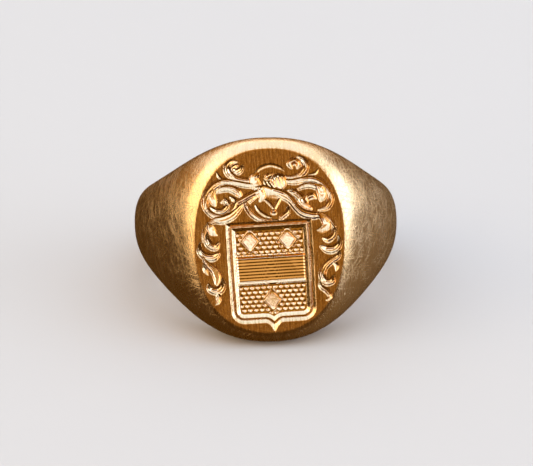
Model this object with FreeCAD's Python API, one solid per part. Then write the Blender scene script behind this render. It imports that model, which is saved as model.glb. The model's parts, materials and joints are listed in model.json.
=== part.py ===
import FreeCAD, Part
import math
import os

# Signet ring lying on its side. Millimetres, +Z up, seal face towards -Y.
#
# Ring axes, used until the last step: the finger bore runs along Z, the seal
# faces -Y, and theta is the angle round the hoop from the middle of the seal
# (0) over the right side (90) to the back (180) and on to the left (270).

# Finger bore and hoop
BORE_RADIUS = 9.07
ROOT_RADIUS = 8.57        # where the D sections would end, inside the bore
CROWN_BACK = 10.7         # radius of the crown of the hoop, far from the head
CROWN_RISE = 3.9          # how much further the crown would rise under the seal
CROWN_SPREAD = 0.67       # how far the rise reaches round the hoop
CROWN_POWER = 3.3         # how suddenly the rise falls away
HALF_WIDTH_BASE = 1.0     # half of the width that the hoop would taper to
HALF_WIDTH_RISE = 8.25    # half of the extra width under the seal
WIDTH_SPREAD = 0.95       # how far the extra width reaches round the hoop
WIDTH_POWER = 2.4         # how suddenly it falls away
SECTION_POWER = 2.3       # superellipse power of the D section
UNDERCUT = 0.05           # share of its width that the section loses at the bore
UNDERCUT_RISE = 0.17      # more of the same under the seal
UNDERCUT_SPREAD = 0.75
UNDERCUT_POWER = 4.0

# Head
TABLE_HEIGHT = 12.0       # from the bore's axis to the flat of the seal
RIM_RADIUS = 1.1          # rounding between the flat and the sides
PLATE_THICKNESS = 1.5     # of the plate that carries the engraving
SOLDER_FILM = 0.1         # thickness of each soldered joint

# Joints round the hoop, degrees
HEAD_END = 39.0
SHOULDER_END = 78.0
FILM_ANGLE = math.degrees(SOLDER_FILM / CROWN_BACK)
SECTION_STEP = 5.0        # largest step between lofted sections

PROFILE_STEPS = 16        # spline points across one section, less one
INSIDE_BORE = 0.5         # how far the lofts reach inside the root of the sections
FAR = 30.0                # larger than the ring


def chord(theta):
    """Distance across a unit circle, which stays smooth at the back."""
    return 2.0 * math.sin(math.radians(abs(theta)) / 2.0)


def hump(theta, spread, power):
    """1 at the middle of the seal, falling away round the hoop."""
    return 1.0 / (1.0 + (chord(theta) / spread) ** power)


def outer_point(theta, alpha):
    """Radius and height of the outer form; alpha runs -90..90 across it."""
    out = math.cos(math.radians(alpha))
    side = math.sin(math.radians(alpha))
    size = (abs(out) ** SECTION_POWER + abs(side) ** SECTION_POWER) ** (1.0 / SECTION_POWER)
    out /= size
    side /= size
    crown = CROWN_BACK + CROWN_RISE * hump(theta, CROWN_SPREAD, CROWN_POWER)
    half_width = HALF_WIDTH_BASE + HALF_WIDTH_RISE * hump(theta, WIDTH_SPREAD, WIDTH_POWER)
    undercut = UNDERCUT + UNDERCUT_RISE * hump(theta, UNDERCUT_SPREAD, UNDERCUT_POWER)
    radius = ROOT_RADIUS + (crown - ROOT_RADIUS) * out
    height = half_width * side * (1.0 - undercut * (1.0 - out) ** 3)
    return radius, height


def place(theta, radius, height):
    angle = math.radians(theta)
    return FreeCAD.Vector(radius * math.sin(angle), -radius * math.cos(angle), height)


def section(theta):
    """Closed D section of the hoop in the plane through the bore's axis."""
    points = []
    for i in range(PROFILE_STEPS + 1):
        alpha = -90.0 + 180.0 * i / PROFILE_STEPS
        points.append(place(theta, *outer_point(theta, alpha)))
    spline = Part.BSplineCurve()
    spline.interpolate(points)
    height = outer_point(theta, 90.0)[1]
    low = place(theta, ROOT_RADIUS - INSIDE_BORE, -height)
    high = place(theta, ROOT_RADIUS - INSIDE_BORE, height)
    edges = [
        spline.toShape(),
        Part.makeLine(points[-1], high),
        Part.makeLine(high, low),
        Part.makeLine(low, points[0]),
    ]
    return Part.Wire(edges)


def form(start, end):
    """Solid of the outer form from one angle to another, not yet bored."""
    steps = max(1, math.ceil((end - start) / SECTION_STEP))
    wires = [section(start + (end - start) * i / steps) for i in range(steps + 1)]
    return Part.makeLoft(wires, True, False)


def bored(shape):
    bore = Part.makeCylinder(BORE_RADIUS, 2 * FAR, FreeCAD.Vector(0, 0, -FAR))
    return shape.cut(bore)


def slab(nearest, furthest):
    """Block between two distances in front of the bore's axis."""
    corner = FreeCAD.Vector(-FAR, -furthest, -FAR)
    return Part.makeBox(2 * FAR, furthest - nearest, 2 * FAR, corner)


def engraved_table(head):
    """Flat-topped plate with the rounded rim."""
    plate = head.common(slab(TABLE_HEIGHT - PLATE_THICKNESS, TABLE_HEIGHT))
    rim = [edge for edge in plate.Edges if edge.BoundBox.YMax < -TABLE_HEIGHT + 1e-3]
    return plate.makeFillet(RIM_RADIUS, rim)


def make_pieces():
    head = form(-HEAD_END, HEAD_END)
    seam = TABLE_HEIGHT - PLATE_THICKNESS
    film = FILM_ANGLE
    pieces = {
        "engraved_table": engraved_table(head),
        "table_solder": head.common(slab(seam - SOLDER_FILM, seam)),
        "head_body": bored(head.common(slab(0.0, seam - SOLDER_FILM))),
    }
    for side, sign in (("right", 1), ("left", -1)):
        spans = {
            "head_solder_" + side: (HEAD_END, HEAD_END + film),
            "shoulder_" + side: (HEAD_END + film, SHOULDER_END - film),
            "shank_solder_" + side: (SHOULDER_END - film, SHOULDER_END),
        }
        for name, (near, far) in spans.items():
            start, end = sorted((sign * near, sign * far))
            pieces[name] = bored(form(start, end))
    pieces["shank"] = bored(form(SHOULDER_END, 360.0 - SHOULDER_END))
    return pieces


def lowest(tilt, back):
    """Lowest height of the tilted outer form, in its front or its back half."""
    angle = math.radians(tilt)
    heights = []
    for theta in range(181 if back else 0, 360 if back else 180):
        turn = theta / 2.0
        for alpha in range(-90, 1):
            point = place(turn, *outer_point(turn, alpha))
            heights.append(point.z * math.cos(angle) - point.y * math.sin(angle))
    return min(heights)


def rest_tilt():
    """Tilt at which the head's lower edge and the back of the shank both touch."""
    low, high = 5.0, 30.0
    for _ in range(24):
        middle = (low + high) / 2.0
        if lowest(middle, back=True) > lowest(middle, back=False):
            low = middle
        else:
            high = middle
    return low


def lay_down(pieces):
    """Tilt the ring onto its side and centre it over the origin."""
    tilt = rest_tilt()
    for shape in pieces.values():
        shape.rotate(FreeCAD.Vector(0, 0, 0), FreeCAD.Vector(1, 0, 0), -tilt)
    box = Part.makeCompound(list(pieces.values())).optimalBoundingBox(False)
    shift = FreeCAD.Vector(0, -box.Center.y, -box.ZMin)
    for shape in pieces.values():
        shape.translate(shift)
    print("tilt", round(tilt, 4), "bore axis passes", shift)
    print("size", box.XLength, box.YLength, box.ZLength)


def bore_length(head_body):
    """Length of the bored wall, which is longest behind the seal."""
    walls = [face for face in head_body.Faces if isinstance(face.Surface, Part.Cylinder)]
    return sum(wall.ParameterRange[3] - wall.ParameterRange[2] for wall in walls)


os.makedirs("parts", exist_ok=True)
ring = make_pieces()
lay_down(ring)
for node, solid in ring.items():
    print(node, solid.ShapeType, len(solid.Solids), solid.isValid(), round(solid.Volume, 3))
    solid.Solids[0].exportStep("parts/" + node + ".step")
print("bore length", bore_length(ring["head_body"]))
print("volume", sum(solid.Volume for solid in ring.values()))
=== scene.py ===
import json
import math

import bmesh
import bpy
import numpy as np
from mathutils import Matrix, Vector

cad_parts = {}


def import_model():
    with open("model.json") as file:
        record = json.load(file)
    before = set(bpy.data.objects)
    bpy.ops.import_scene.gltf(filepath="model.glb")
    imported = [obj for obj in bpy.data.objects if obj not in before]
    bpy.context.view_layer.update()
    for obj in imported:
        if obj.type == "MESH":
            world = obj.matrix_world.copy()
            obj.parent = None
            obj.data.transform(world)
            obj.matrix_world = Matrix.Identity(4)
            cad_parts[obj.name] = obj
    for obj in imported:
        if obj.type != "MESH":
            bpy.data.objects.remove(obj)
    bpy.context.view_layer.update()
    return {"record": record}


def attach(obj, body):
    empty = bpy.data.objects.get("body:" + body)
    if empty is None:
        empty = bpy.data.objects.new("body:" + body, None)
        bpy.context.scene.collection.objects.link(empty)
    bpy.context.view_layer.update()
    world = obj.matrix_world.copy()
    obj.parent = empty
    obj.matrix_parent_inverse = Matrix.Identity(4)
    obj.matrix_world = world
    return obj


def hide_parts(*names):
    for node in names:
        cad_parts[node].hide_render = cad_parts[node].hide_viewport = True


# The ring's own axes, in millimetres: x to the right of the seal, z along the
# finger bore, and y away from the seal, so the seal's flat is at y = -TABLE_HEIGHT.
# theta is the angle round the hoop from the middle of the seal, and on the seal
# itself u is x and v is z.

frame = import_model()

MM = 0.001
RIGHT = np.array([1.0, 0.0, 0.0])
mounts = {mount["name"]: mount for mount in frame["record"]["mounts"]}
CENTRE = np.array(mounts["finger_bore"]["pos_m"])
ALONG_BORE = np.array(mounts["finger_bore"]["axis"])
SEAL_NORMAL = np.array(mounts["seal_face"]["axis"])
BORE_RADIUS = mounts["finger_bore"]["dims"]["r_mm"]
TABLE_HEIGHT = float(np.dot(np.array(mounts["seal_face"]["pos_m"]) - CENTRE, SEAL_NORMAL)) / MM

# Outer form, the same dimensions as the CAD model's
ROOT_RADIUS = 8.57          # where the D sections would end, inside the bore
CROWN_BACK = 10.7           # radius of the crown of the hoop, far from the head
CROWN_RISE = 3.9            # how much further the crown would rise under the seal
CROWN_SPREAD = 0.67         # how far the rise reaches round the hoop
CROWN_POWER = 3.3           # how suddenly the rise falls away
HALF_WIDTH_BASE = 1.0       # half of the width that the hoop would taper to
HALF_WIDTH_RISE = 8.25      # half of the extra width under the seal
WIDTH_SPREAD = 0.95
WIDTH_POWER = 2.4
SECTION_POWER = 2.3         # superellipse power of the D section
UNDERCUT = 0.05             # share of its width that the section loses at the bore
UNDERCUT_RISE = 0.17        # more of the same under the seal
UNDERCUT_SPREAD = 0.75
UNDERCUT_POWER = 4.0
PLATE_THICKNESS = 1.5       # of the plate that carries the engraving
SOLDER_FILM = 0.1           # thickness of each soldered joint
HEAD_END = 39.0             # degrees from the middle of the seal
SHOULDER_END = 78.0
FILM_ANGLE = math.degrees(SOLDER_FILM / CROWN_BACK)

# Finish of the edges
RIM_START = 0.40            # the rim begins where the form stands this far above the flat
RIM_BREAK = 0.36            # the rim's first slope, as a share of the form's own
RIM_CREASE = 0.05           # softness of the line between the flat and the rim
RIM_WORN = 0.6              # how much wider and softer the rim is worn at the foot
BORE_EDGE = 0.28            # rounding where the sides meet the finger bore

# Fineness of the hoop's meshes: faces across the outer form, round each of the
# bore's edges and across the bore's wall, and degrees from one section to the next
OUTER_STEPS = 96
EDGE_STEPS = 6
BORE_STEPS = 10
HEAD_STEP = 0.8
HOOP_STEP = 1.0


# ---------------------------------------------------------------- outer form

def hump(theta, spread, power):
    """1 at the middle of the seal, falling away round the hoop."""
    chord = 2.0 * np.sin(np.abs(theta) / 2.0)
    return 1.0 / (1.0 + (chord / spread) ** power)


def crown(theta):
    return CROWN_BACK + CROWN_RISE * hump(theta, CROWN_SPREAD, CROWN_POWER)


def half_width(theta):
    return HALF_WIDTH_BASE + HALF_WIDTH_RISE * hump(theta, WIDTH_SPREAD, WIDTH_POWER)


def undercut(theta):
    return UNDERCUT + UNDERCUT_RISE * hump(theta, UNDERCUT_SPREAD, UNDERCUT_POWER)


def height_at(theta, radius):
    """Half of the form's width along the bore, at a radius from the bore's axis."""
    out = np.clip((radius - ROOT_RADIUS) / (crown(theta) - ROOT_RADIUS), 0.0, 1.0)
    side = (1.0 - out ** SECTION_POWER) ** (1.0 / SECTION_POWER)
    return half_width(theta) * side * (1.0 - undercut(theta) * (1.0 - out) ** 3)


def section(theta):
    """Closed loop of radius and height across the hoop, from the bore's low edge round."""
    top = BORE_RADIUS + BORE_EDGE
    start = (top - ROOT_RADIUS) / (crown(theta) - ROOT_RADIUS)
    side = (1.0 - start ** SECTION_POWER) ** (1.0 / SECTION_POWER)
    limit = math.atan2(side, start)
    alpha = np.linspace(-limit, limit, OUTER_STEPS + 1)
    size = (np.cos(alpha) ** SECTION_POWER + np.abs(np.sin(alpha)) ** SECTION_POWER)
    size = size ** (1.0 / SECTION_POWER)
    radius = ROOT_RADIUS + (crown(theta) - ROOT_RADIUS) * np.cos(alpha) / size
    height = height_at(theta, radius) * np.sign(alpha)
    corner = float(height_at(theta, np.array(BORE_RADIUS)))
    t = np.linspace(0.0, 1.0, EDGE_STEPS + 1)[1:]
    round_radius = (1 - t) ** 2 * top + (1 - (1 - t) ** 2) * BORE_RADIUS
    edge = float(height_at(theta, np.array(top)))
    round_height = (1 - t) ** 2 * edge + 2 * t * (1 - t) * corner + t * t * (corner - BORE_EDGE)
    wall = np.linspace(corner - BORE_EDGE, -(corner - BORE_EDGE), BORE_STEPS + 1)[1:-1]
    radius = np.concatenate([radius, round_radius, np.full(len(wall), BORE_RADIUS),
                             round_radius[::-1]])
    height = np.concatenate([height, round_height, wall, -round_height[::-1]])
    return radius, height


def hoop_points(theta):
    radius, height = section(theta)
    return np.stack([radius * math.sin(theta), -radius * math.cos(theta), height], axis=1)


def world(points):
    """Ring millimetres to metres in the shared frame."""
    local = np.asarray(points)
    return CENTRE + MM * (local[:, :1] * RIGHT - local[:, 1:2] * SEAL_NORMAL
                          + local[:, 2:3] * ALONG_BORE)


def world_directions(vectors):
    turned = world(vectors) - CENTRE
    return turned / np.linalg.norm(turned, axis=1, keepdims=True)


# ------------------------------------------------------------------- meshes

def unit(vectors):
    return vectors / np.maximum(np.linalg.norm(vectors, axis=-1, keepdims=True), 1e-12)


def hoop_mesh(name, start, end, step=HOOP_STEP):
    """Closed piece of the hoop between two angles, with the form's own normals."""
    sections = max(2, math.ceil((end - start) / step) + 1)
    angles = np.radians(np.linspace(start, end, sections))
    rows = np.array([hoop_points(theta) for theta in angles])
    small = math.radians(0.02)
    ahead = np.array([hoop_points(theta + small) for theta in angles])
    behind = np.array([hoop_points(theta - small) for theta in angles])
    along = ahead - behind
    across = np.roll(rows, -1, axis=1) - np.roll(rows, 1, axis=1)
    normals = unit(np.cross(along, across))
    loop = rows.shape[1]
    count = sections * loop
    across_mm = np.linalg.norm(np.diff(rows, axis=1), axis=2).cumsum(axis=1)
    to_crown = OUTER_STEPS // 2
    skin = np.zeros_like(rows)
    skin[:, :, 0] = (angles * CROWN_BACK)[:, None]
    skin[:, 1:, 1] = across_mm - across_mm[:, to_crown - 1:to_crown]
    faces = []
    for i in range(sections - 1):
        for j in range(loop):
            k = (j + 1) % loop
            faces.append((i * loop + j, (i + 1) * loop + j, (i + 1) * loop + k, i * loop + k))
    points = rows.reshape(-1, 3)
    smooth_faces = len(faces)
    faces.append(tuple(range(loop)))
    faces.append(tuple(count - 1 - i for i in range(loop)))
    mesh = bpy.data.meshes.new(name)
    mesh.from_pydata(world(points).tolist(), [], faces)
    return finish_mesh(mesh, world_directions(normals.reshape(-1, 3)), smooth_faces,
                       skin.reshape(-1, 3))


def finish_mesh(mesh, normals, smooth_faces, skin):
    """Store the normals for the outer faces, and leave the hidden caps flat.

    skin is the surface unrolled flat, in millimetres, which the scratches follow.
    """
    mesh.update()
    flat = mesh.attributes.new("skin", "FLOAT_VECTOR", "POINT")
    flat.data.foreach_set("vector", skin.astype(np.float32).ravel())
    if outward(mesh) < 0:
        mesh.flip_normals()
    store = mesh.attributes.new("form_normal", "FLOAT_VECTOR", "POINT")
    store.data.foreach_set("vector", normals.astype(np.float32).ravel())
    smooth = np.zeros(len(mesh.polygons), bool)
    smooth[:smooth_faces] = True
    mesh.polygons.foreach_set("use_smooth", smooth)
    return mesh


def outward(mesh):
    """Signed volume, positive when the faces point out."""
    work = bmesh.new()
    work.from_mesh(mesh)
    volume = work.calc_volume(signed=True)
    work.free()
    return volume


def cut_plane(mesh, distance, keep_below):
    """Cut a piece at a distance in front of the bore's axis and close the cut."""
    work = bmesh.new()
    work.from_mesh(mesh)
    point = Vector(CENTRE + SEAL_NORMAL * distance * MM)
    geometry = list(work.verts) + list(work.edges) + list(work.faces)
    result = bmesh.ops.bisect_plane(work, geom=geometry, plane_co=point, dist=1e-9,
                                    plane_no=Vector(SEAL_NORMAL),
                                    clear_outer=keep_below, clear_inner=not keep_below)
    rim = [item for item in result["geom_cut"] if isinstance(item, bmesh.types.BMEdge)]
    filled = bmesh.ops.holes_fill(work, edges=rim, sides=0)
    for face in filled["faces"]:
        face.smooth = False
    work.to_mesh(mesh)
    work.free()


def set_normals(mesh):
    """Custom normals from the stored ones, so pieces meet with no visible seam."""
    count = len(mesh.vertices)
    stored = np.zeros(count * 3, np.float32)
    mesh.attributes["form_normal"].data.foreach_get("vector", stored)
    stored = unit(stored.reshape(-1, 3))
    corners = np.zeros(len(mesh.loops), np.int32)
    mesh.loops.foreach_get("vertex_index", corners)
    normals = stored[corners]
    for face in mesh.polygons:
        if not face.use_smooth:
            normals[face.loop_start:face.loop_start + face.loop_total] = face.normal
    mesh.attributes.remove(mesh.attributes["form_normal"])
    mesh.normals_split_custom_set(normals.tolist())


def add_piece(name, mesh, node, material):
    piece = bpy.data.objects.new(name, mesh)
    bpy.context.scene.collection.objects.link(piece)
    mesh.materials.append(material)
    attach(piece, "root")
    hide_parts(node)


# ---------------------------------------------------------------- seal plate

FLAT_CELLS = 288            # cells across the seal's flat
WALL_RINGS = 10             # rings down the rim and the plate's side
SLOPE_STEP = 0.018          # distance over which the slopes of the cuts are measured
SEAM_LEVEL = TABLE_HEIGHT - PLATE_THICKNESS
FURTHEST_OUT = 12.0         # further from the seal's centre than its plate reaches
CUT_FULL = 0.5              # depth at which a cut counts as fully deep
FACE_FALL = 0.10            # fall of the rolled rim at which the flat's finish ends
OUTLINE_HALVINGS = 46       # halvings that find the form's outline
LEVEL_HALVINGS = 34         # and those that find its level over a point


def furthest_inside(low, high, inside, halvings):
    """Largest values between low and high that are still inside, found by halving."""
    for _ in range(halvings):
        middle = (low + high) / 2.0
        within = inside(middle)
        low = np.where(within, middle, low)
        high = np.where(within, high, middle)
    return low


def outline(level, psi):
    """Distance from the seal's centre to the form, at a height above the bore's axis."""
    def inside(distance):
        x = np.abs(distance * np.cos(psi))
        radius = np.hypot(x, level)
        theta = np.arctan2(x, level)
        half = distance * np.abs(np.sin(psi))
        return (half < height_at(theta, radius)) & (radius < crown(theta))

    furthest = np.full_like(psi, FURTHEST_OUT)
    return furthest_inside(np.zeros_like(psi), furthest, inside, OUTLINE_HALVINGS)


def rolled(level, psi):
    """The form's level after the flat is worked across it and its rim rolled over."""
    foot = np.clip(-np.sin(psi), 0.0, 1.0) ** 2
    start = RIM_START * (1.0 + RIM_WORN * foot)
    first_slope = RIM_BREAK * (1.0 - foot)
    reach = 2.0 * start / (1.0 - first_slope)
    x = np.clip(TABLE_HEIGHT + start - level, 0.0, reach)
    first = x ** 2 / (x + RIM_CREASE) * (reach + RIM_CREASE) / reach
    drop = first_slope * first + (1.0 - first_slope) * x ** 2 / (2.0 * reach)
    return np.where(x < reach, TABLE_HEIGHT - drop, level)


def top_level(u, v):
    """Level of the rolled top over a point of the seal."""
    def inside(level):
        radius = np.hypot(u, level)
        theta = np.arctan2(np.abs(u), level)
        return (np.abs(v) < height_at(theta, radius)) & (radius < crown(theta))

    lowest = np.full_like(u, SEAM_LEVEL)
    highest = np.full_like(u, crown(0.0))
    level = furthest_inside(lowest, highest, inside, LEVEL_HALVINGS)
    return rolled(level, np.arctan2(v, u))


def rim_point(psi, t):
    """Point on the rim: t = 0 at the edge of the cut grid, 1 at the plate's seam."""
    level = TABLE_HEIGHT + (SEAM_LEVEL - TABLE_HEIGHT) * t
    reach = outline(level, psi)
    return np.stack([reach * np.cos(psi), -rolled(level, psi), reach * np.sin(psi)], axis=-1)


def cut_level(u, v):
    return top_level(u, v) + engraving(u, v)


def disc_grid(cells):
    """Square grid laid onto the unit disc, with evenly sized cells."""
    line = np.linspace(-1.0, 1.0, cells + 1)
    a, b = np.meshgrid(line, line, indexing="ij")
    wide = np.abs(a) >= np.abs(b)
    radius = np.where(wide, a, b)
    with np.errstate(divide="ignore", invalid="ignore"):
        turn = np.where(wide, (math.pi / 4) * b / a, math.pi / 2 - (math.pi / 4) * a / b)
    turn = np.nan_to_num(turn)
    return radius * np.cos(turn), radius * np.sin(turn)


def boundary_order(n):
    """Indices of the boundary of a grid of n by n cells, once round."""
    ring = [(n, j) for j in range(n // 2, n)] + [(i, n) for i in range(n, 0, -1)]
    ring += [(0, j) for j in range(n, 0, -1)] + [(i, 0) for i in range(0, n)]
    ring += [(n, j) for j in range(0, n // 2)]
    return [i * (n + 1) + j for i, j in ring]


def seal_mesh(name):
    """Plate with the engraved flat, the rolled rim and the side down to its seam."""
    n = FLAT_CELLS
    disc_u, disc_v = disc_grid(n)
    radius = np.hypot(disc_u, disc_v).ravel()
    psi = np.arctan2(disc_v, disc_u).ravel()
    edge = rim_point(psi, 0.0)
    u = edge[:, 0] * radius
    v = edge[:, 2] * radius
    depth = engraving(u, v)
    level = top_level(u, v) + depth
    step = SLOPE_STEP
    slope_u = (cut_level(u + step, v) - cut_level(u - step, v)) / (2 * step)
    slope_v = (cut_level(u, v + step) - cut_level(u, v - step)) / (2 * step)
    flat = np.stack([u, -level, v], axis=1)
    flat_normals = unit(np.stack([-slope_u, np.full_like(u, -1.0), -slope_v], axis=1))
    order = np.array(boundary_order(n))
    ring_psi = psi[order]
    faces = []
    for i in range(n):
        for j in range(n):
            a = i * (n + 1) + j
            faces.append((a, a + 1, a + n + 2, a + n + 1))
    points = [flat]
    normals = [flat_normals]
    skin = [np.stack([u, v, np.zeros_like(u)], axis=1)]
    length = np.hypot(u, v)[order]
    last = flat[order]
    previous = order
    total = len(flat)
    small = 1e-3
    for t in np.linspace(0.0, 1.0, WALL_RINGS + 1)[1:]:
        here = rim_point(ring_psi, t)
        down = rim_point(ring_psi, min(1.0, t + small)) - rim_point(ring_psi, t - small)
        round_rim = rim_point(ring_psi + small, t) - rim_point(ring_psi - small, t)
        length = length + np.linalg.norm(here - last, axis=1)
        last = here
        skin.append(np.stack([length * np.cos(ring_psi), length * np.sin(ring_psi),
                              np.zeros_like(length)], axis=1))
        points.append(here)
        normals.append(unit(np.cross(down, round_rim)))
        current = np.arange(total, total + len(order))
        total += len(order)
        for k in range(len(order)):
            m = (k + 1) % len(order)
            faces.append((previous[k], previous[m], current[m], current[k]))
        previous = current
    smooth_faces = len(faces)
    faces.append(tuple(int(k) for k in previous[::-1]))
    faces = [tuple(int(k) for k in face) for face in faces]
    points = np.concatenate(points)
    normals = np.concatenate(normals)
    mesh = bpy.data.meshes.new(name)
    mesh.from_pydata(world(points).tolist(), [], faces)
    wall = normals[len(flat):]
    sideways = points[len(flat):] * np.array([1.0, 0.0, 1.0])
    wall *= np.sign(np.sum(wall * sideways, axis=1, keepdims=True))
    cut = np.zeros(total, np.float32)
    cut[:len(flat)] = np.clip(-depth / CUT_FULL, 0.0, 1.0)
    mesh.attributes.new("cut", "FLOAT", "POINT").data.foreach_set("value", cut)
    face = np.zeros(total, np.float32)
    face[:len(flat)] = 1.0 - smooth_step(0.0, FACE_FALL, TABLE_HEIGHT - top_level(u, v))
    mesh.attributes.new("face", "FLOAT", "POINT").data.foreach_set("value", face)
    return finish_mesh(mesh, world_directions(normals), smooth_faces, np.concatenate(skin))


# ----------------------------------------------------------------- engraving

LEAN_UP = 0.85              # the graver leans, so each cut is deeper on its upper side
LEAN_RIGHT = 0.30
WIDER = 1.15                # leaves are cut this much wider than their guide widths
CUT_SHARE = 0.78            # and this share of their listed depths deep
BOWL = 0.86                 # the plain channel's depth, as a share of the leaf's
BOWL_POWER = 0.8            # how full the channel's section is
RIDGE = 0.20                # height of the flutes, as a share of the depth
WALL = 0.30                 # share of the half width over which a falling floor begins
FULL_WIDTH = 0.32           # half width at which a leaf reaches its full depth
THINNEST = 0.02             # least half width of a leaf
LEAF_MARGIN = 0.05          # room round a leaf in the area that is worked


def smooth_step(low, high, x):
    t = np.clip((x - low) / (high - low), 0.0, 1.0)
    return t * t * (3.0 - 2.0 * t)


def smooth_path(points, steps=14):
    """Smooth line through the points (Catmull-Rom), each point (u, v, half width)."""
    p = np.array(points, float)
    p = np.vstack([2 * p[0] - p[1], p, 2 * p[-1] - p[-2]])
    t = np.linspace(0.0, 1.0, steps, endpoint=False)[:, None]
    parts = []
    for i in range(1, len(p) - 2):
        a, b, c, d = p[i - 1], p[i], p[i + 1], p[i + 2]
        parts.append(0.5 * (2 * b + (c - a) * t + (2 * a - 5 * b + 4 * c - d) * t ** 2
                            + (3 * b - a - 3 * c + d) * t ** 3))
    parts.append(p[-2][None])
    path = np.vstack(parts)
    path[:, 2] = np.maximum(path[:, 2], THINNEST)
    return path


def ribbon(depth, u, v, points, deep, flutes, fall=0.0):
    """Cut one leaf of the mantling: a channel that swells, tapers and is fluted.

    Its floor can also fall towards its top, which turns an upright leaf to the light.
    """
    path = smooth_path(points)
    path[:, 2] *= WIDER
    reach = path[:, 2].max() + LEAF_MARGIN
    low = path[:, :2].min(0) - reach
    high = path[:, :2].max(0) + reach
    near = np.nonzero((u > low[0]) & (u < high[0]) & (v > low[1]) & (v < high[1]))[0]
    if len(near) == 0:
        return
    start = path[:-1]
    span = path[1:] - start
    length2 = np.sum(span[:, :2] ** 2, axis=1)
    du = u[near][:, None] - start[None, :, 0]
    dv = v[near][:, None] - start[None, :, 1]
    t = np.clip((du * span[:, 0] + dv * span[:, 1]) / length2, 0.0, 1.0)
    off_u = du - t * span[:, 0]
    off_v = dv - t * span[:, 1]
    distance = np.hypot(off_u, off_v)
    half = start[:, 2] + t * span[:, 2]
    share = distance / half
    best = np.argmin(share, axis=1)
    rows = np.arange(len(near))
    q = share[rows, best]
    side = np.sign(off_u[rows, best] * span[best, 1] - off_v[rows, best] * span[best, 0])
    width = half[rows, best]
    inside = q < 1.0
    q = q * side
    bowl = np.clip(1.0 - q ** 2, 0.0, 1.0) ** BOWL_POWER
    flute = 0.5 - 0.5 * np.cos(2.0 * math.pi * flutes * (q + 1.0) / 2.0)
    amount = np.minimum(1.0, width / FULL_WIDTH)
    lean = 1.0 + LEAN_UP * off_v[rows, best] / width + LEAN_RIGHT * off_u[rows, best] / width
    wall = smooth_step(0.0, WALL, 1.0 - np.abs(q))
    floor = fall * np.clip(v[near] - path[:, 1].min(), 0.0, None)
    cut = -deep * amount * bowl * (BOWL * lean + RIDGE * flute) - floor * wall
    depth[near] = np.where(inside, np.minimum(depth[near], cut), depth[near])


def grain(u, v, size, seed):
    """Smooth seeded noise from -1 to 1 with features of about the given size.

    Each corner of a square grid gets its value from a hash of its place and the seed.
    """
    a = u / size
    b = v / size
    i = np.floor(a).astype(np.int64)
    j = np.floor(b).astype(np.int64)
    fa = a - i
    fb = b - j
    fa = fa * fa * (3 - 2 * fa)
    fb = fb * fb * (3 - 2 * fb)

    def corner(x, y):
        mixed = (x * 73856093) ^ (y * 19349663) ^ (seed * 83492791)
        mixed = (mixed ^ (mixed >> 13)) * 1274126177
        return ((mixed ^ (mixed >> 16)) & 0xFFFF) / 32767.5 - 1.0

    low = corner(i, j) * (1 - fa) + corner(i + 1, j) * fa
    high = corner(i, j + 1) * (1 - fa) + corner(i + 1, j + 1) * fa
    return low * (1 - fb) + high * fb


def arc_points(centre, radius, start, end, count):
    angles = np.radians(np.linspace(start, end, count))
    return [(centre[0] + radius * math.cos(a), centre[1] + radius * math.sin(a)) for a in angles]


SHIELD_TURN = math.radians(3.0)     # the shield sits slightly turned
SHIELD_CENTRE = (0.10, -1.65)
SHIELD_HALF = 3.42          # half width
SHIELD_BULGE = 0.05         # how much wider it is at the level of its centre
SHIELD_FLARE = 0.02         # and at its top
SHIELD_TOP = 3.35           # how far the top is above the shield's centre
SHIELD_CORNER = 1.05        # radius of the lower corners
CORNER_POINTS = 9
SHIELD_FOOT = 4.90          # how far the foot is below the shield's centre
SHIELD_TIP = 5.66           # and the point
SHIELD_NEAR = (4.2, 6.2)    # half width and half height of an area round the shield
TIP_HALF = 0.75             # half width of the pointed tip
TIP_STEPS = 8
TIP_POWER = 1.9             # how hollow the tip's sides are


def shield_outline():
    """Right half from the tip up, then mirrored: a hollow curve and a round corner."""
    corner = (SHIELD_HALF - SHIELD_CORNER, SHIELD_CORNER - SHIELD_FOOT)
    right = []
    for k in range(TIP_STEPS + 1):
        share = k / TIP_STEPS
        fall = (1.0 - share) ** TIP_POWER
        right.append((TIP_HALF * share, -SHIELD_FOOT - (SHIELD_TIP - SHIELD_FOOT) * fall))
    right += arc_points(corner, SHIELD_CORNER, -90, 0, CORNER_POINTS)
    right.append((SHIELD_HALF + SHIELD_BULGE, 0.0))
    right.append((SHIELD_HALF + SHIELD_FLARE, SHIELD_TOP))
    left = [(-x, y) for x, y in reversed(right[1:])]
    return np.array(right + left)


def inside_distance(points, s, t):
    """Distance to a closed outline, positive inside it."""
    nearest = np.full_like(s, 1e9)
    inside = np.zeros(len(s), bool)
    for (ax, ay), (bx, by) in zip(points, np.roll(points, -1, axis=0)):
        ex, ey = bx - ax, by - ay
        k = np.clip(((s - ax) * ex + (t - ay) * ey) / max(ex * ex + ey * ey, 1e-12), 0, 1)
        nearest = np.minimum(nearest, np.hypot(s - ax - k * ex, t - ay - k * ey))
        crosses = (ay > t) != (by > t)
        with np.errstate(divide="ignore", invalid="ignore"):
            at = ax + (t - ay) * ex / (ey if ey else 1e-12)
        inside ^= crosses & (s < at)
    return np.where(inside, nearest, -nearest)


DOT_PITCH = (0.47, 0.365)   # across the shield and down it
DOT_RADIUS = 0.165
DOT_CUT = 0.12              # how much deeper than the field each dot is


def dots(s, t):
    """Staggered rows of round pits, as a share of full depth."""
    pitch_s, pitch_t = DOT_PITCH
    row = np.floor(t / pitch_t)
    across = s / pitch_s + 0.5 * (row % 2)
    ds = (across - np.floor(across) - 0.5) * pitch_s
    dt = (t / pitch_t - row - 0.5) * pitch_t
    q = np.hypot(ds, dt) / DOT_RADIUS
    return np.clip(1.0 - q * q, 0.0, 1.0)


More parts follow.
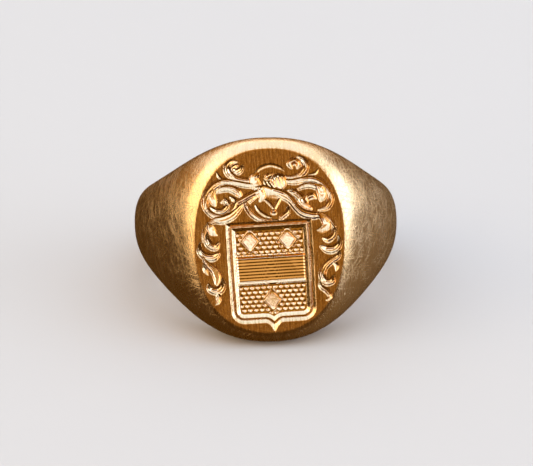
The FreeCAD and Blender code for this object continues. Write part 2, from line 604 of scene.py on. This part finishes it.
LOZENGE = (0.70, 0.84)      # half width and half height
LOZENGE_CENTRES = [(-1.60, 1.76), (1.46, 1.76), (-0.04, -3.12)]
LOZENGE_DEPTHS = (0.22, 0.76)       # of its ground and of its deepest point
LOZENGE_FALL = 1.6          # half heights over which its floor falls, from its foot up
LOZENGE_WALL = 0.15         # width of its sloping wall, as a share of its size
LOZENGE_GROUND = 1.2        # the dots stop at this share of its size


def lozenge(s, t, centre):
    """Depth share of a lozenge whose floor falls towards its top, and its ground."""
    half_s, half_t = LOZENGE
    q = np.abs(s - centre[0]) / half_s + np.abs(t - centre[1]) / half_t
    fall = np.clip((t - centre[1] + half_t) / (LOZENGE_FALL * half_t), 0.0, 1.0)
    return fall * np.clip((1.0 - q) / LOZENGE_WALL, 0.0, 1.0), q < LOZENGE_GROUND


FIELD_DEPTH = 0.30
FIELD_START = (0.78, 0.90)  # the dots fade in between these distances from the edge

# The border's profile: distances inside the shield's edge, and the heights there
BORDER_AT = [-0.04, 0.00, 0.28, 0.38, 0.44, 0.70]
BORDER_CUT = [0.00, -0.02, -0.24, -0.10, -0.10, -0.30]
BORDER_END = (0.66, 0.84)   # the border gives way to the field between these

# The lined band across the shield, and the ledges along its foot and its top:
# distances from the foot or the top, and the heights there
BAND_DEPTH = 0.42
BAND_TOP = 0.56
BAND_FOOT = -1.78
BAND_LEDGE = 0.30           # between the band's foot and its first line
LINE_PITCH = 0.255
LINE_RISE = 0.74            # share of the pitch over which each line slopes gently
LINE_CUT = 0.055            # depth of each line
FOOT_AT = [-0.06, 0.02, 0.16, 0.26]
FOOT_CUT = [0.0, 0.14, 0.12, 0.0]
TOP_AT = [-0.20, -0.12, -0.02, 0.06]
TOP_CUT = [0.0, -0.16, 0.12, 0.0]


def carve_shield(depth, u, v):
    """Cut the shield: a double border, dotted fields, lozenges and a lined band."""
    c = math.cos(SHIELD_TURN)
    k = math.sin(SHIELD_TURN)
    du = u - SHIELD_CENTRE[0]
    dv = v - SHIELD_CENTRE[1]
    near = np.nonzero((np.abs(du) < SHIELD_NEAR[0]) & (np.abs(dv) < SHIELD_NEAR[1]))[0]
    s = du[near] * c + dv[near] * k
    t = dv[near] * c - du[near] * k
    d = inside_distance(shield_outline(), s, t)
    field = -FIELD_DEPTH - DOT_CUT * dots(s, t) * smooth_step(*FIELD_START, d)
    shallow, deepest = LOZENGE_DEPTHS
    for centre in LOZENGE_CENTRES:
        share, ground = lozenge(s, t, centre)
        field = np.where(ground, -shallow - (deepest - shallow) * share, field)
    phase = (t - BAND_FOOT - BAND_LEDGE) / LINE_PITCH
    phase -= np.floor(phase)
    wave = np.where(phase < LINE_RISE, phase / LINE_RISE, (1.0 - phase) / (1.0 - LINE_RISE))
    lines = -BAND_DEPTH - LINE_CUT * (wave - 0.5)
    ledges = np.interp(t - BAND_FOOT, FOOT_AT, FOOT_CUT) + np.interp(t - BAND_TOP, TOP_AT, TOP_CUT)
    in_band = (t > BAND_FOOT) & (t < BAND_TOP)
    inner = np.where(in_band, lines, field) + ledges
    border = np.interp(d, BORDER_AT, BORDER_CUT)
    share = smooth_step(*BORDER_END, d)
    cut = border * (1 - share) + inner * share
    depth[near] = np.where(d > BORDER_AT[0], cut, depth[near])


# Leaves of the mantling: (u, v, half width) along each, then its depth and number of
# flutes, and for an upright leaf how steeply its floor falls towards its top
MANTLING = [
    # left side, from the helm outwards
    ([(-0.85, 4.60, 0.18), (-1.70, 4.62, 0.22), (-2.70, 4.80, 0.24), (-3.60, 4.92, 0.26),
      (-4.35, 4.62, 0.28), (-4.92, 4.00, 0.30), (-5.18, 3.28, 0.26), (-5.02, 2.66, 0.22),
      (-4.52, 2.20, 0.24), (-3.90, 2.06, 0.22)], 0.36, 2),
    ([(-4.28, 4.02, 0.06), (-3.86, 4.32, 0.24), (-3.20, 4.38, 0.28), (-2.62, 4.12, 0.32),
      (-2.28, 3.72, 0.12)], 0.36, 2),
    ([(-4.46, 4.22, 0.10), (-4.62, 3.82, 0.30), (-4.50, 3.36, 0.26), (-4.36, 2.96, 0.05)],
     0.16, 2, 0.32),
    ([(-4.72, 2.86, 0.05), (-4.30, 2.52, 0.22), (-3.72, 2.56, 0.26), (-3.36, 2.96, 0.24),
      (-3.52, 3.38, 0.20), (-3.86, 3.26, 0.08)], 0.34, 2),
    ([(-3.16, 3.72, 0.06), (-2.78, 3.36, 0.20), (-2.84, 2.86, 0.26), (-3.20, 2.42, 0.18)], 0.32, 1),
    ([(-0.55, 4.22, 0.30), (-1.25, 3.92, 0.28), (-2.00, 3.52, 0.26), (-2.62, 3.20, 0.20),
      (-2.95, 3.02, 0.05)], 0.36, 1),
    ([(-0.90, 3.80, 0.06), (-1.50, 3.42, 0.16), (-2.20, 2.98, 0.18), (-2.62, 2.56, 0.26),
      (-3.10, 2.14, 0.34), (-3.80, 1.86, 0.36), (-4.45, 1.78, 0.24), (-4.95, 1.42, 0.16),
      (-5.28, 0.78, 0.16), (-5.32, 0.10, 0.10)], 0.38, 2),
    ([(-1.00, 5.00, 0.16), (-1.80, 4.98, 0.22), (-2.62, 5.14, 0.28), (-3.22, 5.62, 0.30),
      (-3.34, 6.12, 0.26), (-3.02, 6.50, 0.20), (-2.60, 6.56, 0.06)], 0.36, 2),
    ([(-2.10, 6.26, 0.06), (-2.30, 5.90, 0.22), (-2.66, 5.72, 0.26), (-2.88, 5.98, 0.24),
      (-2.62, 6.24, 0.14)], 0.34, 2),
    ([(-3.55, 4.98, 0.05), (-4.02, 5.32, 0.12), (-4.22, 5.72, 0.03)], 0.22, 1),
    ([(-4.86, 1.46, 0.10), (-4.72, 1.12, 0.30), (-4.52, 0.74, 0.22), (-4.20, 0.58, 0.04)],
     0.12, 1, 0.42),
    ([(-5.00, 0.92, 0.06), (-5.06, 0.30, 0.22), (-4.86, -0.20, 0.28), (-4.42, -0.40, 0.26),
      (-4.12, -0.08, 0.12)], 0.34, 2),
    ([(-5.60, 0.02, 0.05), (-5.66, -0.62, 0.20), (-5.26, -1.10, 0.30), (-4.62, -1.22, 0.32),
      (-4.16, -0.96, 0.16)], 0.36, 2),
    ([(-5.40, -1.22, 0.06), (-5.02, -1.78, 0.22), (-4.52, -2.24, 0.28), (-4.26, -2.86, 0.30),
      (-4.30, -3.40, 0.12)], 0.20, 2, 0.14),
    ([(-5.30, -1.66, 0.06), (-5.22, -2.20, 0.18), (-5.00, -2.62, 0.05)], 0.28, 1),
    ([(-3.86, -2.96, 0.06), (-3.82, -3.50, 0.24), (-4.20, -3.96, 0.32), (-4.78, -3.86, 0.26),
      (-4.98, -3.42, 0.08)], 0.36, 2),
    ([(-4.35, -3.95, 0.10), (-4.16, -4.42, 0.20), (-4.20, -4.86, 0.14), (-4.42, -5.10, 0.03)],
     0.28, 1),
    # right side
    ([(1.15, 4.98, 0.14), (1.90, 4.88, 0.24), (2.75, 5.02, 0.28), (3.55, 5.04, 0.28),
      (4.22, 4.72, 0.28), (4.78, 4.06, 0.26), (4.94, 3.36, 0.24), (4.62, 2.76, 0.22),
      (4.02, 2.56, 0.10)], 0.36, 2),
    ([(2.05, 3.98, 0.05), (2.55, 4.42, 0.18), (3.25, 4.58, 0.24), (3.92, 4.40, 0.24)], 0.36, 2),
    ([(3.80, 4.60, 0.10), (4.16, 4.24, 0.32), (4.28, 3.74, 0.32), (4.12, 3.26, 0.08)],
     0.14, 2, 0.36),
    ([(1.40, 4.10, 0.14), (1.98, 3.96, 0.30), (2.46, 3.56, 0.34), (2.80, 3.02, 0.28),
      (3.34, 2.70, 0.14)], 0.36, 2),
    ([(3.78, 3.52, 0.06), (3.44, 3.70, 0.24), (3.06, 3.52, 0.20), (3.06, 3.12, 0.06)], 0.32, 1),
    ([(0.40, 4.10, 0.30), (1.12, 3.82, 0.38), (1.74, 3.38, 0.32), (2.18, 2.78, 0.28),
      (2.72, 2.32, 0.32), (3.45, 2.12, 0.32), (4.10, 2.10, 0.22), (4.80, 1.84, 0.12),
      (5.30, 1.20, 0.06)], 0.40, 2),
    ([(1.10, 5.34, 0.10), (1.85, 5.22, 0.18), (2.52, 5.46, 0.26), (2.92, 6.02, 0.28),
      (2.78, 6.56, 0.24), (2.36, 6.88, 0.12)], 0.36, 2),
    ([(2.30, 5.98, 0.06), (2.34, 6.30, 0.22), (2.04, 6.54, 0.28), (1.70, 6.34, 0.24),
      (1.80, 6.02, 0.10)], 0.36, 1),
    ([(3.20, 5.42, 0.05), (3.72, 5.56, 0.12), (3.98, 5.92, 0.03)], 0.22, 1),
    ([(4.10, 2.14, 0.12), (4.46, 1.72, 0.26), (4.62, 1.26, 0.30), (4.22, 0.92, 0.24),
      (3.86, 0.92, 0.04)], 0.12, 1, 0.40),
    ([(4.94, 1.50, 0.05), (5.22, 0.96, 0.16), (5.12, 0.42, 0.20), (4.70, 0.10, 0.22),
      (4.34, 0.24, 0.10)], 0.34, 1),
    ([(5.56, 0.42, 0.05), (5.66, -0.10, 0.18), (5.34, -0.58, 0.30), (4.72, -0.70, 0.32),
      (4.16, -0.42, 0.12)], 0.36, 2),
    ([(5.62, -0.60, 0.05), (5.52, -1.22, 0.20), (4.96, -1.62, 0.24), (4.46, -2.10, 0.26),
      (4.24, -2.76, 0.26), (4.50, -3.34, 0.28), (5.02, -3.26, 0.24), (5.14, -2.84, 0.08)], 0.36, 2),
    ([(5.02, -1.70, 0.06), (5.40, -2.00, 0.16), (5.36, -2.42, 0.04)], 0.26, 1),
    ([(4.10, -2.95, 0.08), (4.14, -3.70, 0.18), (4.62, -4.12, 0.20), (4.86, -4.52, 0.16),
      (4.62, -4.82, 0.08)], 0.30, 1),
    # plume above the helm, then the lacing below it
    ([(-1.15, 5.50, 0.05), (-0.75, 5.98, 0.14), (0.05, 6.24, 0.15), (0.80, 6.06, 0.13),
      (1.22, 5.78, 0.04)], 0.16, 1),
    ([(-0.92, 5.52, 0.14), (-1.22, 5.16, 0.34), (-1.10, 4.70, 0.42), (-0.72, 4.26, 0.40)],
     0.10, 1, 0.40),
    ([(-1.05, 4.30, 0.20), (-0.50, 4.22, 0.40), (0.10, 4.02, 0.42), (0.80, 3.82, 0.34)],
     0.16, 2, 0.38),
    ([(-0.66, 4.24, 0.26), (-0.56, 3.74, 0.26), (-0.78, 3.28, 0.05)],
     0.14, 1, 0.36),
    ([(-0.46, 3.52, 0.08), (0.02, 3.12, 0.12), (0.36, 2.72, 0.10)], 0.28, 1),
    ([(0.92, 3.62, 0.12), (0.68, 3.20, 0.14), (0.44, 2.72, 0.10)], 0.28, 1),
    ([(-1.86, 3.10, 0.20), (-1.62, 2.66, 0.26), (-1.22, 2.16, 0.26), (-0.62, 1.80, 0.24),
      (0.10, 1.66, 0.20), (0.66, 1.70, 0.10)], 0.28, 2, 0.14),
    ([(-1.12, 3.02, 0.05), (-0.86, 2.56, 0.12), (-0.36, 2.16, 0.14), (0.14, 1.98, 0.05)], 0.26, 1),
    ([(1.52, 2.88, 0.06), (1.48, 2.42, 0.18), (1.06, 2.06, 0.20), (0.82, 1.76, 0.10)], 0.32, 1),
]


HELM_CENTRE = (0.78, 4.92)
HELM_RADIUS = 0.66
HELM_DEPTH = 0.34
HELM_LEAN = 0.9             # share by which it deepens for each mm towards its top
HELM_EDGE = (4, 0.6)        # powers that set how full its section is
BAR_PITCH = 0.30
BAR_LEAN = 0.35             # how far the bars lean to the left for each mm up
BAR_CUT = 0.035
CHEEK = [(-0.32, 5.10, 0.05), (-0.10, 5.30, 0.24), (0.20, 5.46, 0.16)]
COLLAR = [(-0.42, 4.96, 0.05), (-0.16, 4.50, 0.15), (0.24, 4.14, 0.17), (0.72, 3.86, 0.15)]
COLLAR_SHIFTS = (0.0, 0.27, 0.54)   # to the right, for each ribbon of the collar
COLLAR_FALL = 0.1           # how much lower a ribbon starts for each mm of its shift
CHEEK_DEPTH = 0.30
COLLAR_DEPTH = 0.26
PEARL_CENTRE = (0.36, 2.40)
PEARL_RADIUS = 0.26
PEARL_SQUEEZE = 0.85        # its width as a share of its height
PEARL_DEPTH = 0.20
PEARL_LEAN = 1.2            # how much deeper it is towards its top


def carve_helm(depth, u, v):
    """Plain closed helm turned right: bars, a cheek piece, a collar and a pearl below."""
    a = u - HELM_CENTRE[0]
    b = v - HELM_CENTRE[1]
    q = np.hypot(a, b) / HELM_RADIUS
    bars = BAR_CUT * np.cos(2.0 * math.pi * (a + BAR_LEAN * b) / BAR_PITCH)
    edge = np.clip(1.0 - q ** HELM_EDGE[0], 0.0, 1.0) ** HELM_EDGE[1]
    depth[:] = np.minimum(depth, (bars - HELM_DEPTH * (1.0 + HELM_LEAN * b)) * edge)
    ribbon(depth, u, v, CHEEK, CHEEK_DEPTH, 1)
    for shift in COLLAR_SHIFTS:
        moved = [(x + shift, y, width) for x, y, width in COLLAR]
        x, y, width = moved[0]
        moved[0] = (x, y - COLLAR_FALL * shift, width)
        ribbon(depth, u, v, moved, COLLAR_DEPTH, 1)
    b = v - PEARL_CENTRE[1]
    q = np.hypot(u - PEARL_CENTRE[0], PEARL_SQUEEZE * b) / PEARL_RADIUS
    pearl = -PEARL_DEPTH * np.clip(1.0 - q ** 2, 0.0, 1.0)
    depth[:] = np.minimum(depth, pearl * (1.0 + PEARL_LEAN * b / PEARL_RADIUS))


TOOL_MARKS = [(0.005, 0.14, 3), (0.002, 0.06, 5)]     # height, size and seed
MARKS_START = (0.02, 0.12)  # the tool marks fade in between these depths


def engraving(u, v):
    """Depth of the cut at points of the flat, zero or less."""
    depth = np.zeros_like(u)
    for points, deep, flutes, *fall in MANTLING:
        ribbon(depth, u, v, points, CUT_SHARE * deep, flutes, *fall)
    carve_helm(depth, u, v)
    marks = sum(height * grain(u, v, size, seed) for height, size, seed in TOOL_MARKS)
    depth += marks * smooth_step(*MARKS_START, -depth)
    carve_shield(depth, u, v)
    return depth


# ----------------------------------------------------------------- materials

class Graph:
    """Short calls for building a material's nodes."""

    def __init__(self, name):
        self.material = bpy.data.materials.new(name)
        self.material.use_nodes = True
        self.nodes = self.material.node_tree.nodes
        self.links = self.material.node_tree.links
        self.shader = self.nodes["Principled BSDF"]
        self.place = self.nodes.new("ShaderNodeTexCoord").outputs["Object"]

    def math(self, operation, first, second=0.0, third=0.0, clamp=False):
        node = self.nodes.new("ShaderNodeMath")
        node.operation = operation
        node.use_clamp = clamp
        for socket, value in zip(node.inputs, (first, second, third)):
            self.give(socket, value)
        return node.outputs[0]

    def give(self, socket, value):
        if isinstance(value, bpy.types.NodeSocket):
            self.links.new(value, socket)
        else:
            socket.default_value = value

    def attribute(self, name, output="Fac"):
        node = self.nodes.new("ShaderNodeAttribute")
        node.attribute_name = name
        return node.outputs[output]

    def noise(self, scale, rotation=(0.0, 0.0, 0.0), detail=2.0, rough=0.5):
        """Noise whose features per millimetre are given along three turned axes."""
        mapping = self.nodes.new("ShaderNodeMapping")
        mapping.vector_type = "TEXTURE"
        mapping.inputs["Rotation"].default_value = [math.radians(a) for a in rotation]
        mapping.inputs["Scale"].default_value = [MM / value for value in scale]
        self.links.new(self.place, mapping.inputs["Vector"])
        node = self.nodes.new("ShaderNodeTexNoise")
        node.inputs["Scale"].default_value = 1.0
        node.inputs["Detail"].default_value = detail
        node.inputs["Roughness"].default_value = rough
        self.links.new(mapping.outputs[0], node.inputs["Vector"])
        return node.outputs["Fac"]

    def streaks(self, across, along, turn, offset, detail=1.0, rough=0.5):
        """Noise drawn out into lines on the unrolled surface, features per millimetre."""
        mapping = self.nodes.new("ShaderNodeMapping")
        mapping.vector_type = "TEXTURE"
        mapping.inputs["Location"].default_value = (offset, offset, 0.0)
        mapping.inputs["Rotation"].default_value = (0.0, 0.0, math.radians(turn))
        mapping.inputs["Scale"].default_value = (1.0 / across, 1.0 / along, 1.0)
        self.links.new(self.attribute("skin", "Vector"), mapping.inputs["Vector"])
        node = self.nodes.new("ShaderNodeTexNoise")
        node.noise_dimensions = "2D"
        node.inputs["Scale"].default_value = 1.0
        node.inputs["Detail"].default_value = detail
        node.inputs["Roughness"].default_value = rough
        self.links.new(mapping.outputs[0], node.inputs["Vector"])
        return node.outputs["Fac"]

    def band(self, value, low, high):
        """0 below low, 1 above high, straight between."""
        node = self.nodes.new("ShaderNodeMapRange")
        self.give(node.inputs["Value"], value)
        node.inputs["From Min"].default_value = low
        node.inputs["From Max"].default_value = high
        return node.outputs["Result"]

    def mix(self, share, first, second):
        node = self.nodes.new("ShaderNodeMix")
        node.data_type = "RGBA"
        self.give(node.inputs["Factor"], share)
        self.give(node.inputs["A"], first)
        self.give(node.inputs["B"], second)
        return node.outputs["Result"]

    def bump(self, height, distance, before=None):
        node = self.nodes.new("ShaderNodeBump")
        node.inputs["Strength"].default_value = 1.0
        node.inputs["Distance"].default_value = distance
        self.give(node.inputs["Height"], height)
        if before is not None:
            self.links.new(before, node.inputs["Normal"])
        return node.outputs["Normal"]


# Scratches: features per mm across and along, turn of the lines in degrees, and the
# value of the noise at which a line begins
SCRATCHES = [
    (9.0, 0.30, 8.0, 0.60),
    (10.0, 0.34, -24.0, 0.61),
    (8.0, 0.40, 32.0, 0.62),
    (9.0, 0.45, 78.0, 0.63),
    (11.0, 0.55, -58.0, 0.63),
]
SCRATCH_EDGE = 0.10         # change of the noise from a line's edge to its full depth
PATCHES = (0.6, 0.6, 0.6)   # patches of scratches per mm
PATCH_EDGE = (0.20, 0.70)   # values of the noise outside a patch and well inside it
DEEP_GAIN = 1.6             # how early a cut takes on the look of a deep one: no scratches and the painted highlight
FLAT_CLEAR = 0.75           # share of the scratches that is missing on the flat

ROUGHNESS = 0.25
GOLD_LIGHT = (0.94, 0.63, 0.33, 1.0)
GOLD_WARM = (0.91, 0.59, 0.28, 1.0)
GOLD_BRUSHED = (0.56, 0.31, 0.10, 1.0)      # in the brushed lines
PAINTED_CUT_HIGHLIGHT = (0.97, 0.70, 0.40, 1.0)          # painted highlight: paler gold in the deep cuts, so they look brightly lit

# Heights of the bumps, metres
DENTS = 0.000006
BRUSHING = 0.000009
GRAIN = 0.000002
SCRATCH = 0.000010


def scratch_lines(g, face, deep):
    """Fine scratches in patches, fewer on the flat and none in the deep cuts."""
    lines = None
    for across, along, turn, threshold in SCRATCHES:
        streak = g.streaks(across, along, turn, 3.0 * turn)
        streak = g.band(streak, threshold, threshold + SCRATCH_EDGE)
        patch = g.band(g.noise(PATCHES, (turn, 2.0 * turn, 15.0)), *PATCH_EDGE)
        streak = g.math("MULTIPLY", streak, patch)
        lines = streak if lines is None else g.math("ADD", lines, streak)
    shallow = g.math("SUBTRACT", 1.0, g.math("MULTIPLY", deep, DEEP_GAIN))
    lines = g.math("MULTIPLY", lines, shallow, clamp=True)
    kept = g.math("SUBTRACT", 1.0, g.math("MULTIPLY", face, FLAT_CLEAR))
    return g.math("MULTIPLY", lines, kept)


def gold(name):
    """Worn 18 ct gold: brushing, scratches and soft dents, and deep cuts that are smoother and
    painted paler as a highlight.
    """
    g = Graph(name)
    g.shader.inputs["Metallic"].default_value = 1.0
    deep = g.attribute("cut")
    face = g.attribute("face")
    lines = scratch_lines(g, face, deep)
    dents = g.noise((2.6, 2.6, 2.6), detail=3.0, rough=0.6)
    grain_fine = g.noise((11.0, 11.0, 11.0), detail=2.0)
    cloud = g.noise((0.45, 0.45, 0.45), (0, 20, 0), detail=3.0)
    brushed = g.streaks(6.5, 0.7, 4.0, 1.7, detail=4.0, rough=0.75)
    # The brushed lines are deeper where the flat is left uncut
    uncut = g.math("SUBTRACT", face, g.math("MULTIPLY", deep, 4.0), clamp=True)
    furrows = g.math("MULTIPLY", brushed, g.math("MULTIPLY_ADD", uncut, 0.9, 1.0))
    normal = g.bump(dents, DENTS)
    normal = g.bump(furrows, BRUSHING, before=normal)
    normal = g.bump(grain_fine, GRAIN, before=normal)
    normal = g.bump(g.math("MULTIPLY", lines, -1.0), SCRATCH, before=normal)
    g.links.new(normal, g.shader.inputs["Normal"])
    tone = g.mix(g.band(cloud, 0.35, 0.65), GOLD_LIGHT, GOLD_WARM)
    dark = g.math("MULTIPLY_ADD", face, 0.60, 0.18)
    dark = g.math("MULTIPLY", g.band(brushed, 0.42, 0.58), dark)
    tone = g.mix(dark, tone, GOLD_BRUSHED)
    # Painted highlight: the deeper the cut, the paler its gold, so the carving looks brightly lit
    tone = g.mix(g.math("MULTIPLY", deep, DEEP_GAIN, clamp=True), tone, PAINTED_CUT_HIGHLIGHT)
    g.links.new(tone, g.shader.inputs["Base Color"])
    # Dents and scratches are rougher than the rest, and deep cuts and the flat smoother
    rough = g.math("MULTIPLY_ADD", dents, 0.08, ROUGHNESS - 0.04)
    rough = g.math("MULTIPLY_ADD", lines, 0.10, rough)
    rough = g.math("MULTIPLY_ADD", deep, -0.16, rough)
    rough = g.math("MULTIPLY_ADD", face, -0.06, rough)
    g.links.new(rough, g.shader.inputs["Roughness"])
    return g.material


# ------------------------------------------------------------ stage and light

# Softboxes: name, place, the point that each faces, its size, power and colour
LIGHTS = [
    ("softbox_above", (-0.05, 0.13, 0.34), (-0.05, 0.13, 0), (1.0, 0.8), 3.3, (0.77, 1.01, 1.42)),
    ("softbox_left", (-0.43, -0.17, 0.17), (0, 0, 0.03), (0.72, 0.36), 1.6, (1.0, 0.87, 0.66)),
    ("softbox_right", (0.42, -0.09, 0.12), (0, 0, 0.03), (0.64, 0.26), 1.6, (0.88, 1.04, 1.36)),
]


def add_light(name, place, target, size, power, colour):
    light = bpy.data.lights.new(name, "AREA")
    light.shape = "RECTANGLE"
    light.size = size[0]
    light.size_y = size[1]
    light.energy = power
    light.color = colour
    lamp = bpy.data.objects.new(name, light)
    bpy.context.scene.collection.objects.link(lamp)
    lamp.location = place
    direction = Vector(target) - Vector(place)
    lamp.rotation_euler = direction.to_track_quat("-Z", "Y").to_euler()


# The floor's radius and height, metres, from the flat outwards
FLOOR_PROFILE = [(1.00, 0.0), (1.12, 0.01), (1.24, 0.05), (1.33, 0.12), (1.39, 0.22),
                 (1.42, 0.36), (1.43, 0.90)]
FLOOR_SIDES = 72
PAPER = (0.55, 0.50, 0.43, 1.0)

# The curved-up part glows, as a lit backdrop would: its light, the height at which
# that is full, and its strength there
BACKDROP_GLOW = (0.84, 0.93, 1.0, 1.0)
BACKDROP_HEIGHT = 0.004
BACKDROP_POWER = 0.50


def floor_paper():
    material = bpy.data.materials.new("floor_paper")
    material.use_nodes = True
    nodes = material.node_tree.nodes
    links = material.node_tree.links
    shader = nodes["Principled BSDF"]
    shader.inputs["Base Color"].default_value = PAPER
    shader.inputs["Roughness"].default_value = 0.9
    shader.inputs["Emission Color"].default_value = BACKDROP_GLOW
    split = nodes.new("ShaderNodeSeparateXYZ")
    links.new(nodes.new("ShaderNodeTexCoord").outputs["Object"], split.inputs[0])
    rise = nodes.new("ShaderNodeMapRange")
    rise.inputs["From Max"].default_value = BACKDROP_HEIGHT
    rise.inputs["To Max"].default_value = BACKDROP_POWER
    links.new(split.outputs["Z"], rise.inputs["Value"])
    links.new(rise.outputs["Result"], shader.inputs["Emission Strength"])
    return material


def add_floor():
    """Flat floor of pale paper that curves up far behind the ring on every side."""
    sides = FLOOR_SIDES
    points = [(0.0, 0.0, 0.0)]
    faces = [(0, 1 + k, 1 + (k + 1) % sides) for k in range(sides)]
    for row, (radius, height) in enumerate(FLOOR_PROFILE):
        for k in range(sides):
            angle = 2.0 * math.pi * k / sides
            points.append((radius * math.cos(angle), radius * math.sin(angle), height))
            if row:
                m = (k + 1) % sides
                low = 1 + (row - 1) * sides
                faces.append((low + k, low + sides + k, low + sides + m, low + m))
    mesh = bpy.data.meshes.new("floor")
    mesh.from_pydata(points, [], faces)
    mesh.polygons.foreach_set("use_smooth", [True] * len(faces))
    floor = bpy.data.objects.new("floor", mesh)
    bpy.context.scene.collection.objects.link(floor)
    mesh.materials.append(floor_paper())
    floor.visible_glossy = False


CAMERA_AZIMUTH = math.radians(-1.7)
CAMERA_ELEVATION = math.radians(26.3)
CAMERA_DISTANCE = 0.26
FRAME_WIDTH_AT_SEAL = 0.0430        # metres seen across the image, at the seal
SENSOR = 36.0
LOOK_RIGHT = -0.00025               # where the image's middle is, from the seal's
LOOK_UP = 0.00074


def add_camera():
    data = bpy.data.cameras.new("camera")
    camera = bpy.data.objects.new("camera", data)
    bpy.context.scene.collection.objects.link(camera)
    back = Vector((math.sin(CAMERA_AZIMUTH) * math.cos(CAMERA_ELEVATION),
                   -math.cos(CAMERA_AZIMUTH) * math.cos(CAMERA_ELEVATION),
                   math.sin(CAMERA_ELEVATION)))
    turn = (-back).to_track_quat("-Z", "Y")
    right = turn @ Vector((1, 0, 0))
    up = turn @ Vector((0, 1, 0))
    seal = Vector(CENTRE + SEAL_NORMAL * TABLE_HEIGHT * MM)
    aim = seal + right * LOOK_RIGHT + up * LOOK_UP
    camera.rotation_euler = turn.to_euler()
    camera.location = aim + back * CAMERA_DISTANCE
    data.sensor_width = SENSOR
    data.lens = SENSOR * CAMERA_DISTANCE / FRAME_WIDTH_AT_SEAL
    data.clip_start = 0.01
    bpy.context.scene.camera = camera


# The room's colours from the horizon up, and the dim colour that takes their place
# towards the right
ROOM_COLOURS = [(0.00, (0.070, 0.034, 0.006, 1.0)),
                (0.07, (0.31, 0.160, 0.034, 1.0)),
                (0.16, (0.34, 0.165, 0.030, 1.0)),
                (0.42, (0.56, 0.32, 0.09, 1.0)),
                (0.72, (0.88, 0.56, 0.24, 1.0)),
                (0.86, (0.10, 0.07, 0.04, 1.0))]
ROOM_RIGHT = (0.20, 0.145, 0.085, 1.0)
ROOM_TURN = (0.15, 0.85)    # where the change to the right begins and ends


def add_room():
    room = bpy.data.worlds.new("room")
    bpy.context.scene.world = room
    room.use_nodes = True
    nodes = room.node_tree.nodes
    links = room.node_tree.links
    place = nodes.new("ShaderNodeTexCoord")
    split = nodes.new("ShaderNodeSeparateXYZ")
    ramp = nodes.new("ShaderNodeValToRGB")
    links.new(place.outputs["Generated"], split.inputs[0])
    links.new(split.outputs["Z"], ramp.inputs["Fac"])
    side = nodes.new("ShaderNodeMapRange")
    side.inputs["From Min"].default_value = ROOM_TURN[0]
    side.inputs["From Max"].default_value = ROOM_TURN[1]
    links.new(split.outputs["X"], side.inputs["Value"])
    mix = nodes.new("ShaderNodeMix")
    mix.data_type = "RGBA"
    links.new(side.outputs["Result"], mix.inputs["Factor"])
    links.new(ramp.outputs["Color"], mix.inputs["A"])
    mix.inputs["B"].default_value = ROOM_RIGHT
    links.new(mix.outputs["Result"], nodes["Background"].inputs["Color"])
    elements = ramp.color_ramp.elements
    elements.remove(elements[1])
    elements[0].position, elements[0].color = ROOM_COLOURS[0]
    for position, colour in ROOM_COLOURS[1:]:
        elements.new(position).color = colour


# ---------------------------------------------------------------- the pieces

def make_ring():
    metal = gold("ring_gold")
    film = FILM_ANGLE
    head = hoop_mesh("head_body", -HEAD_END, HEAD_END, HEAD_STEP)
    layer = head.copy()
    layer.name = "table_solder"
    cut_plane(head, SEAM_LEVEL - SOLDER_FILM, True)
    cut_plane(layer, SEAM_LEVEL, True)
    cut_plane(layer, SEAM_LEVEL - SOLDER_FILM, False)
    spans = {
        "shank": (SHOULDER_END, 360.0 - SHOULDER_END),
        "head_solder_right": (HEAD_END, HEAD_END + film),
        "shoulder_right": (HEAD_END + film, SHOULDER_END - film),
        "shank_solder_right": (SHOULDER_END - film, SHOULDER_END),
        "head_solder_left": (-HEAD_END - film, -HEAD_END),
        "shoulder_left": (film - SHOULDER_END, -HEAD_END - film),
        "shank_solder_left": (-SHOULDER_END, film - SHOULDER_END),
    }
    meshes = {"engraved_table": seal_mesh("engraved_table"), "head_body": head,
              "table_solder": layer}
    for name, (start, end) in spans.items():
        meshes[name] = hoop_mesh(name, start, end)
    for name, mesh in meshes.items():
        set_normals(mesh)
        add_piece("ring_" + name, mesh, name, metal)


add_camera()
make_ring()
add_floor()
add_room()
for light in LIGHTS:
    add_light(*light)
bpy.context.scene.view_settings.view_transform = "Standard"
